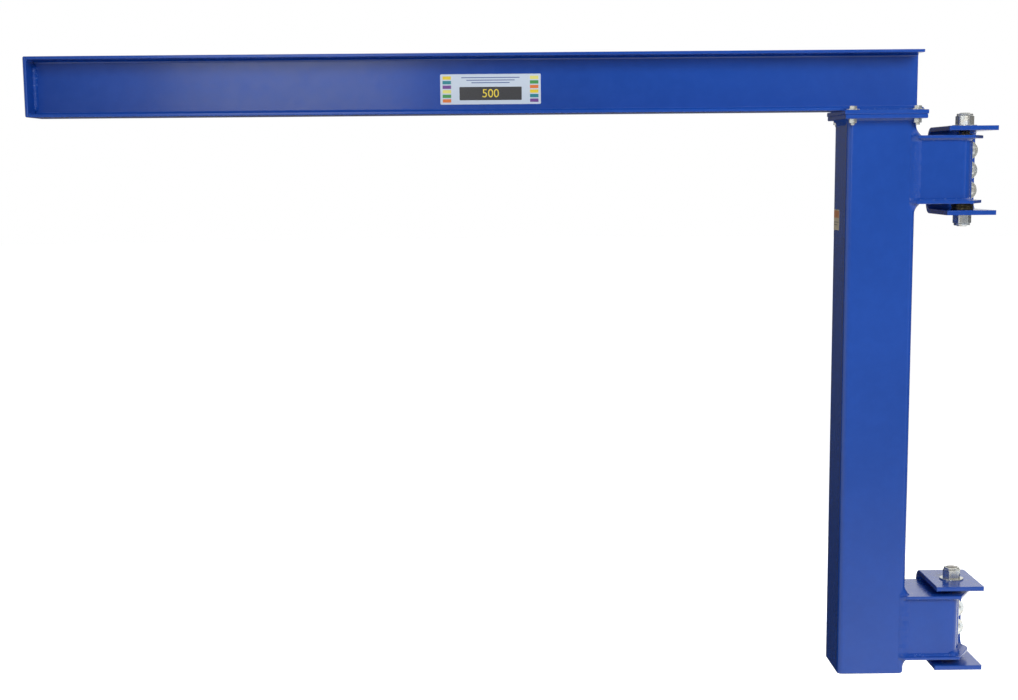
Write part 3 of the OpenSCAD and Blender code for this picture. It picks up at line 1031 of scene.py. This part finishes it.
def root_weld(bm, side, sign, look):
    """The weld up an arm's root, over the ends of its two plates and out to nothing on the post."""
    foot, top = (
        [corner.z for corner in corners(f"{side}_arm_{plate}_plate")] for plate in ("bottom", "top")
    )
    post_high = corners("post")[1]
    rings = []
    for z, section in root_stations(foot, top, look.root_rise, look.ripple):
        ring = []
        for k, (u, v) in enumerate(section):
            y = PIN.y + sign * ((post_high.y - PIN.y) + v * MM)
            where = Vector((post_high.x + u * MM, y, z))
            if 0 < k < 4 and section is ROOT_SIDE:
                wave = 0.5 * abs(math.sin(math.pi * z / look.ripple)) + 1.1 * noise.noise(where * 70)
                where += Vector((0.6, sign * 0.8, 0)) * wave * MM
            ring.append(where)
        rings.append(ring)
    loft(bm, rings)


def arm_root_welds(side, look):
    """The welds up both sides of an arm's root."""
    bm = bmesh.new()
    for sign in (-1, 1):
        root_weld(bm, side, sign, look)
    weld_piece(bm, side + "_arm_root_welds", "enamel")


def arm_welds(side, look):
    """The beads along an arm's sides, and across the ends of its plates on the post."""
    bm = bmesh.new()
    sides_low, sides_high = corners(side + "_arm_sides")
    post_low, post_high = corners("post")

    def at_height(path, z, way):
        return [(point + Vector((0, 0, z)), out, way) for point, out in path]

    for sign in (-1, 1):
        path = arm_side_path(side, sign, look.arm_bend)
        for z, way in ((sides_low.z, UP), (sides_high.z, DOWN)):
            bead(bm, at_height(path, z, way), look.leg, look.ripple)
    reach = (post_high.y - post_low.y) / 2 - 14 * MM
    for level, way in (
        (corners(side + "_arm_top_plate")[1].z - 1 * MM, UP),
        (corners(side + "_arm_bottom_plate")[0].z + 1 * MM, DOWN),
    ):
        ends = [Vector((post_high.x - 2 * MM, PIN.y + y, level)) for y in (-reach, reach)]
        line = [(end, X_AXIS, 1.35 * way) for end in ends]
        bead(bm, line, 1.5 * look.leg, look.ripple, crown=-0.04)
    if side == "lower":
        # A second, rougher pass went round the nose of the lower arm
        nose = arm_side_path(side, -1, look.arm_bend)[1:]
        line = at_height(nose, sides_low.z, UP)
        bead(bm, line, 1.7 * look.leg, 2 * look.ripple, crown=0.16, rough=0.34)
    weld_piece(bm, side + "_arm_welds")


POST_CORNER = 15 * MM           # outside radius of the post's corners


def post_ring(low, high, z):
    """Stations round the outside of the post at a height, with their ways out and down."""
    flat = (high.y - low.y) / 2 - POST_CORNER
    centre_x = (low.x + high.x) / 2
    stations = []
    for quarter, (sx, sy) in enumerate(((1, 1), (-1, 1), (-1, -1), (1, -1))):
        for k in range(7):
            angle = math.radians(90 * quarter + 15 * k)
            out = Vector((math.cos(angle), math.sin(angle), 0))
            spot = Vector((centre_x + sx * flat, PIN.y + sy * flat, z)) + POST_CORNER * out
            stations.append((spot, out, DOWN))
    return stations


def post_head_welds(look):
    """The beads under the post's cap plate, heavier on two sides, and beside the boom's heel."""
    bm = bmesh.new()
    post_low, post_high = corners("post")
    base_low, base_high = corners("boom_base_plate")
    boom_low, boom_high = corners("boom")
    under_cap = corners("post_cap_plate")[0].z
    ring = post_ring(post_low, post_high, under_cap)
    bead(bm, [*ring, ring[0]], look.leg, look.ripple, loop=True)
    for x, way in ((post_low.x, -1), (post_high.x, 1)):
        ends = [Vector((x, PIN.y + y, under_cap)) for y in (-66 * MM, 66 * MM)]
        line = [(end, way * X_AXIS, 1.3 * DOWN) for end in ends]
        bead(bm, line, 1.9 * look.leg, look.ripple, crown=-0.06)
    for sign in (-1, 1):
        y = PIN.y + sign * (boom_high.y - boom_low.y) / 2
        ends = [Vector((x, y, base_high.z)) for x in (base_low.x + 3 * MM, boom_high.x - 1 * MM)]
        bead(bm, [(end, Vector((0, sign, 0)), UP) for end in ends], 0.75 * look.leg, look.ripple)
    weld_piece(bm, "post_head_welds")


BOOM_FLANGE = 7.5 * MM
BOOM_WEB_HALF = 3 * MM


def boom_tip_welds(look):
    """The beads inside the boom's end plate, up its web and along its flanges."""
    bm = bmesh.new()
    boom_low, boom_high = corners("boom")
    plate_x = corners("boom_tip_plate")[1].x
    inside_low, inside_high = boom_low.z + BOOM_FLANGE, boom_high.z - BOOM_FLANGE
    for sign in (-1, 1):
        web_y = PIN.y + sign * BOOM_WEB_HALF
        edge_y = PIN.y + sign * (boom_high.y - PIN.y)
        ends = [Vector((plate_x, web_y, z)) for z in (inside_low + 8 * MM, inside_high - 8 * MM)]
        line = [(end, X_AXIS, Vector((0, sign, 0))) for end in ends]
        bead(bm, line, 1.5 * look.leg, 1.6 * look.ripple, rough=0.2)
        for z, way in ((inside_low, UP), (inside_high, DOWN)):
            ends = [Vector((plate_x, y, z)) for y in (web_y + sign * 6 * MM, edge_y - sign * 3 * MM)]
            bead(bm, [(end, X_AXIS, way) for end in ends], 0.8 * look.leg, look.ripple)
    weld_piece(bm, "boom_tip_welds")


class JIB_OT_welds(bpy.types.Operator):
    """Lays the weld beads on the arms, the post and the boom's ends"""

    bl_idname = "jib.welds"
    bl_label = "Welds"

    def execute(self, context):
        look = context.scene.crane_welds
        for side in SIDES:
            arm_root_welds(side, look)
            arm_welds(side, look)
        post_head_welds(look)
        boom_tip_welds(look)
        return {"FINISHED"}


# ---- Printed plates ------------------------------------------------------------------

PLATE_THICK = 0.5 * MM
PRINT_THICK = 0.62 * MM         # how far the plate's patches stand off the boom's web
DIGIT_THICK = 0.8 * MM
DIGIT_SIZE = 30 * MM
PATCH_EDGE = 0.02 * MM
SWATCH = (22 * MM, 8.6 * MM)    # a colour patch at the plate's ends
SWATCH_ROWS = 6
SWATCH_PITCH = 11.6 * MM
BAR_HEIGHT = 2.2 * MM
BAR_PITCH = 6.5 * MM

PLATE_WHITE = rgb(204, 216, 228)
PLATE_DARK = rgb(46, 46, 48)
PLATE_BLUE = rgb(70, 92, 150)
PLATE_YELLOW = rgb(236, 210, 60)
PLATE_INKS = (
    rgb(232, 206, 40), rgb(20, 130, 140), rgb(112, 60, 140),
    rgb(230, 224, 120), rgb(60, 150, 70), rgb(226, 120, 40),
)
STICKER_CREAM = rgb(222, 206, 172)
STICKER_ORANGE = rgb(214, 130, 60)
STICKER_GREY = rgb(120, 110, 96)
STICKER_HEIGHT = 1.0805         # above the lower bracket's middle
STICKER_SHIFT = 39 * MM         # from the middle of the post's side, towards the wall


class CranePlates(bpy.types.PropertyGroup):
    rating: bpy.props.StringProperty(
        name="Rating", description="The number on the boom's plate", default="500",
    )
    width: bpy.props.FloatProperty(
        name="Plate width", description="Length of the boom's plate", default=0.260, min=0.15,
        max=0.5, unit="LENGTH",
    )
    height: bpy.props.FloatProperty(
        name="Plate height", description="Height of the boom's plate", default=0.077, min=0.077,
        max=0.1, unit="LENGTH",
    )
    centre: bpy.props.FloatProperty(
        name="Plate place", description="Distance of the plate's middle from the pins",
        default=1.2336, min=0.5, max=2.1, unit="LENGTH",
    )


def ink_faces(bm, start, colour):
    """Gives the faces made since start an ink."""
    bm.faces.ensure_lookup_table()
    layer = bm.loops.layers.float_color.get("ink") or bm.loops.layers.float_color.new("ink")
    for face in list(bm.faces)[start:]:
        for loop in face.loops:
            loop[layer] = (*colour, 1)


def patch(bm, x, y, width, height, lift, colour, place, radius=0.4 * MM):
    """A printed patch, centred on (x, y), that stands a hair proud of its plate."""
    start = len(bm.faces)
    spot = place @ Matrix.Translation((x, y, 0))
    rounded_slab(bm, width, height, lift, radius, spot, PATCH_EDGE)
    ink_faces(bm, start, colour)


def digits(bm, body, x, y, size, lift, colour, place):
    """Plain figures, centred on (x, y)."""
    curve = bpy.data.curves.new("figures", "FONT")
    curve.body = body
    curve.size = size
    curve.extrude = lift / 2
    curve.align_x = "CENTER"
    curve.align_y = "CENTER"
    holder = bpy.data.objects.new("figures", curve)
    bpy.context.scene.collection.objects.link(holder)
    bpy.context.view_layer.update()
    graph = bpy.context.evaluated_depsgraph_get()
    mesh = bpy.data.meshes.new_from_object(holder.evaluated_get(graph))
    bpy.data.objects.remove(holder)
    bpy.data.curves.remove(curve)
    mesh.transform(place @ Matrix.Translation((x, y, lift / 2)))
    start = len(bm.faces)
    bm.from_mesh(mesh)
    bpy.data.meshes.remove(mesh)
    ink_faces(bm, start, colour)


class JIB_OT_rating_plate(bpy.types.Operator):
    """Makes the plate on the boom's web, with plain bars and a number"""

    bl_idname = "jib.rating_plate"
    bl_label = "Rating plate"

    def execute(self, context):
        sizes = context.scene.crane_plates
        low, high = corners("boom")
        width, half_height = sizes.width, sizes.height / 2
        middle = (PIN.x - sizes.centre, PIN.y - BOOM_WEB_HALF, (low.z + high.z) / 2 - 12 * MM)
        place = Matrix.Translation(middle) @ Matrix.Rotation(math.radians(90), 4, "X")
        bm = bmesh.new()
        patch(bm, 0, 0, width, sizes.height, PLATE_THICK, PLATE_WHITE, place, 3 * MM)
        for side, first_ink in ((-1, 0), (1, 3)):
            x = side * (width / 2 - 17 * MM)
            for row in range(SWATCH_ROWS):
                y = half_height - 9.5 * MM - row * SWATCH_PITCH
                ink = PLATE_INKS[(first_ink + row) % SWATCH_ROWS]
                patch(bm, x, y, *SWATCH, PRINT_THICK, ink, place)
        panel = (0.62 * width, 0.44 * sizes.height)
        patch(bm, 0, -11 * MM, *panel, PRINT_THICK, PLATE_DARK, place, 2 * MM)
        for row, share in enumerate((0.58, 0.48, 0.38)):
            y = half_height - 9 * MM - row * BAR_PITCH
            patch(bm, 0, y, share * width, BAR_HEIGHT, PRINT_THICK, PLATE_BLUE, place)
        digits(bm, sizes.rating, 0, -11.5 * MM, DIGIT_SIZE, DIGIT_THICK, PLATE_YELLOW, place)
        make_piece("rating_plate", mesh_of(bm, "rating_plate"), JIB, "print")
        return {"FINISHED"}


class JIB_OT_post_sticker(bpy.types.Operator):
    """Makes the plain two-colour sticker on the post's side"""

    bl_idname = "jib.post_sticker"
    bl_label = "Post sticker"

    def execute(self, context):
        side_x = corners("post")[0].x
        place = along((side_x, PIN.y + STICKER_SHIFT, STICKER_HEIGHT), (-1, 0, 0))
        paper, print_on_it = 0.3 * MM, 0.36 * MM
        bm = bmesh.new()
        patch(bm, 0, 0, 72 * MM, 54 * MM, paper, STICKER_CREAM, place, 2 * MM)
        patch(bm, 0, 15 * MM, 66 * MM, 19 * MM, print_on_it, STICKER_ORANGE, place, 1 * MM)
        patch(bm, 0, -6 * MM, 56 * MM, 2 * MM, print_on_it, STICKER_GREY, place)
        patch(bm, -7 * MM, -13 * MM, 42 * MM, 2 * MM, print_on_it, STICKER_GREY, place)
        make_piece("post_sticker", mesh_of(bm, "post_sticker"), JIB, "print")
        return {"FINISHED"}


# ---- Stage ---------------------------------------------------------------------------

WHITE = (1, 1, 1)
FLOOR_RADIUS = 60
FLOOR_GLOW = 0.72               # what the floor adds to its own light where it is seen
AIM = (-0.9, -0.1, 0.8)         # the middle of the crane, where the lamps look
FLAT_HEIGHT = 5.2

CAMERA_SPOT = (-1.2158, -4.7266, 1.2223)
CAMERA_YAW = 0.4650             # to the right, in degrees
CAMERA_PITCH = 8.5941           # down
CAMERA_ROLL = -0.5032           # of its right side, up
CAMERA_LENS = 61.545
CAMERA_SENSOR = 36
CAMERA_SHIFT = (-0.0057, 0.08)


class CraneStage(bpy.types.PropertyGroup):
    floor_drop: bpy.props.FloatProperty(
        name="Floor drop", description="How far the floor lies below the crane", default=1.2,
        min=0, max=3, unit="LENGTH",
    )
    sky: bpy.props.FloatProperty(
        name="Sky", description="Strength of the even light from all round", default=0.32, min=0,
        max=1, subtype="FACTOR",
    )
    key: bpy.props.FloatProperty(
        name="Key light", description="Power of the large light in front", default=235, min=0,
        max=3000, unit="POWER",
    )
    back: bpy.props.FloatProperty(
        name="Back light", description="Power of the large light behind", default=250, min=0,
        max=3000, unit="POWER",
    )
    fill: bpy.props.FloatProperty(
        name="Fill light", description="Power of the light from the other side", default=24, min=0,
        max=3000, unit="POWER",
    )


def lamp(name, spot, size, power, glossy=True):
    """A large square soft light that looks at the crane. Gloss shows it unless glossy is off."""
    data = bpy.data.lights.new(name, "AREA")
    data.shape = "SQUARE"
    data.size = size
    data.energy = power
    light = bpy.data.objects.new(name, data)
    bpy.context.scene.collection.objects.link(light)
    light.location = spot
    light.rotation_mode = "QUATERNION"
    light.rotation_quaternion = (Vector(AIM) - Vector(spot)).to_track_quat("-Z", "Y")
    light.visible_glossy = glossy


def backdrop(name, bm, material):
    """Makes a part of the stage, which doesn't belong to the crane."""
    obj = bpy.data.objects.new(name, mesh_of(bm, name))
    bpy.context.scene.collection.objects.link(obj)
    obj.data.materials.append(material)


def flat(name, middle, across, along_it, low_tone, high_tone):
    """A studio flat that only gloss shows. Its tone runs from the start of along_it to its end."""
    middle, across, along_it = Vector(middle), Vector(across) / 2, Vector(along_it) / 2
    bm = bmesh.new()
    ring = [middle + x * across + y * along_it for x, y in ((-1, -1), (1, -1), (1, 1), (-1, 1))]
    bm.faces.new([bm.verts.new(point) for point in ring])
    s = new_shader(name)
    half = along_it.length
    way = along_it / half
    run = s.add("ShaderNodeVectorMath", {"operation": "DOT_PRODUCT"}, {0: s.place(), 1: way}, output=1)
    start = (middle - along_it).dot(along_it) / half
    tone = run.ramp(start, start + 2 * half)
    grey = s.mix(tone + s.noise(0.5) * 0.1 - 0.05, (low_tone,) * 3, (high_tone,) * 3)
    cloth = s.add("ShaderNodeEmission", sockets={"Color": grey, "Strength": 1})
    clear = s.add("ShaderNodeBsdfTransparent")
    gloss = s.add("ShaderNodeLightPath", output="Is Glossy Ray")
    shown = s.add("ShaderNodeMixShader", sockets={0: gloss, 1: clear, 2: cloth})
    backdrop(name, bm, s.end(shown))


def white_where_seen(s):
    """1 for what the camera sees directly or in gloss or glass, and 0 for light that spreads."""
    direct, gloss, glass = (
        s.add("ShaderNodeLightPath", output=name)
        for name in ("Is Camera Ray", "Is Glossy Ray", "Is Transmission Ray")
    )
    return s.math("MAXIMUM", direct, s.math("MAXIMUM", gloss, glass))


def make_floor(height):
    """A pale floor that keeps the crane's shadow and looks white where it is seen."""
    bm = bmesh.new()
    bmesh.ops.create_circle(bm, cap_ends=True, segments=64, radius=FLOOR_RADIUS)
    bmesh.ops.translate(bm, verts=bm.verts, vec=(-1, 0, height))
    s = new_shader("pale_floor")
    tone = s.mix(s.noise(3, 4) * 0.2, (0.80, 0.80, 0.80), (0.86, 0.86, 0.86))
    plain = s.add("ShaderNodeBsdfPrincipled", sockets={"Base Color": tone, "Roughness": 0.8})
    glow = s.add("ShaderNodeEmission", sockets={"Color": WHITE, "Strength": FLOOR_GLOW})
    both = s.add("ShaderNodeAddShader", sockets={0: plain, 1: glow})
    shown = s.add("ShaderNodeMixShader", sockets={0: white_where_seen(s), 1: plain, 2: both})
    backdrop("floor", bm, s.end(shown))


def make_world(sky):
    """A world that looks white where it is seen and lights the crane by less."""
    s = Shader(bpy.data.worlds.new("studio"))
    strength = white_where_seen(s) * (1 - sky) + sky
    even = s.add("ShaderNodeBackground", sockets={"Color": WHITE, "Strength": strength})
    bpy.context.scene.world = s.end(even, "World")


def make_flats(floor_z):
    """The flats that the enamel and the zinc mirror, round the crane and under it."""
    mid_z = floor_z + FLAT_HEIGHT / 2
    tall = (0, 0, FLAT_HEIGHT)
    flat("flat_behind", (-3.79, 3.9, mid_z), (8.8, 0, 0), tall, 0.03, 0.20)
    flat("flat_below", (-3.79, 2.15, floor_z + 0.02), (8.8, 0, 0), (0, 3.5, 0), 0.02, 0.02)
    flat("flat_behind_right", (5.2, 5.2, mid_z), (5, 0, 0), tall, 0.10, 0.10)
    flat("flat_in_front", (0, -9, mid_z), (18, 0, 0), tall, 0.52, 0.10)
    flat("flat_overhead", (0, -4.5, 6), (12, 0, 0), (0, 9, 0), 0.10, 0.45)
    flat("flat_right", (6.5, 0, mid_z), (0, 9, 0), tall, 0.25, 0.08)


def make_camera():
    """The camera in front of the crane. Each of its three turns starts from the one before."""
    data = bpy.data.cameras.new("camera")
    data.sensor_width = CAMERA_SENSOR
    data.lens = CAMERA_LENS
    data.shift_x, data.shift_y = CAMERA_SHIFT
    data.clip_start, data.clip_end = 0.1, 200
    yaw, pitch, roll = (math.radians(d) for d in (CAMERA_YAW, CAMERA_PITCH, CAMERA_ROLL))
    level_right = Vector((math.cos(yaw), -math.sin(yaw), 0))
    level_ahead = Vector((math.sin(yaw), math.cos(yaw), 0))
    ahead = level_ahead * math.cos(pitch) - UP * math.sin(pitch)
    above = UP * math.cos(pitch) + level_ahead * math.sin(pitch)
    right = level_right * math.cos(roll) + above * math.sin(roll)
    top = above * math.cos(roll) - level_right * math.sin(roll)
    axes = Matrix((right, top, -ahead)).transposed().to_4x4()
    camera = bpy.data.objects.new("camera", data)
    camera.matrix_world = Matrix.Translation(CAMERA_SPOT) @ axes
    bpy.context.scene.collection.objects.link(camera)
    bpy.context.scene.camera = camera


class JIB_OT_stage(bpy.types.Operator):
    """Sets up the floor, the lights, the world and the camera"""

    bl_idname = "jib.stage"
    bl_label = "Stage"

    def execute(self, context):
        look = context.scene.crane_stage
        floor_z = CAD_BOX[0][2] - look.floor_drop
        make_floor(floor_z)
        make_world(look.sky)
        lamp("key", (1.4, -4.8, 3.0), 2.4, look.key, glossy=False)
        lamp("back", (2.5, 6.5, 3.6), 3, look.back, glossy=False)
        lamp("fill", (-2.6, -7.5, 1.9), 1.6, look.fill)
        make_flats(floor_z)
        make_camera()
        context.scene.view_settings.view_transform = "Standard"
        return {"FINISHED"}


# ---- Add-on --------------------------------------------------------------------------

OPERATORS = (
    JIB_OT_finishes, JIB_OT_plates, JIB_OT_pins, JIB_OT_wall_bolts, JIB_OT_joint_bolts,
    JIB_OT_bearings, JIB_OT_welds, JIB_OT_rating_plate, JIB_OT_post_sticker, JIB_OT_stage,
)
GROUPS = {
    "crane_finish": CraneFinish,
    "crane_edges": CraneEdges,
    "crane_fasteners": CraneFasteners,
    "crane_welds": CraneWelds,
    "crane_plates": CranePlates,
    "crane_stage": CraneStage,
}


class JIB_PT_crane(bpy.types.Panel):
    """Lists the crane's pieces and their sizes"""

    bl_label = "Jib crane"
    bl_idname = "JIB_PT_crane"
    bl_space_type = "VIEW_3D"
    bl_region_type = "UI"
    bl_category = "Jib crane"

    def draw(self, context):
        for name, group in GROUPS.items():
            box = self.layout.box()
            for key in group.__annotations__:
                box.prop(getattr(context.scene, name), key)
        for operator in OPERATORS:
            self.layout.operator(operator.bl_idname)


def register():
    for name, group in GROUPS.items():
        bpy.utils.register_class(group)
        setattr(bpy.types.Scene, name, bpy.props.PointerProperty(type=group))
    for operator in OPERATORS:
        bpy.utils.register_class(operator)
    bpy.utils.register_class(JIB_PT_crane)


def unregister():
    bpy.utils.unregister_class(JIB_PT_crane)
    for operator in reversed(OPERATORS):
        bpy.utils.unregister_class(operator)
    for name, group in GROUPS.items():
        delattr(bpy.types.Scene, name)
        bpy.utils.unregister_class(group)


def main():
    register()
    for operator in OPERATORS:
        group, name = operator.bl_idname.split(".")
        getattr(getattr(bpy.ops, group), name)()


if __name__ == "__main__":
    main()
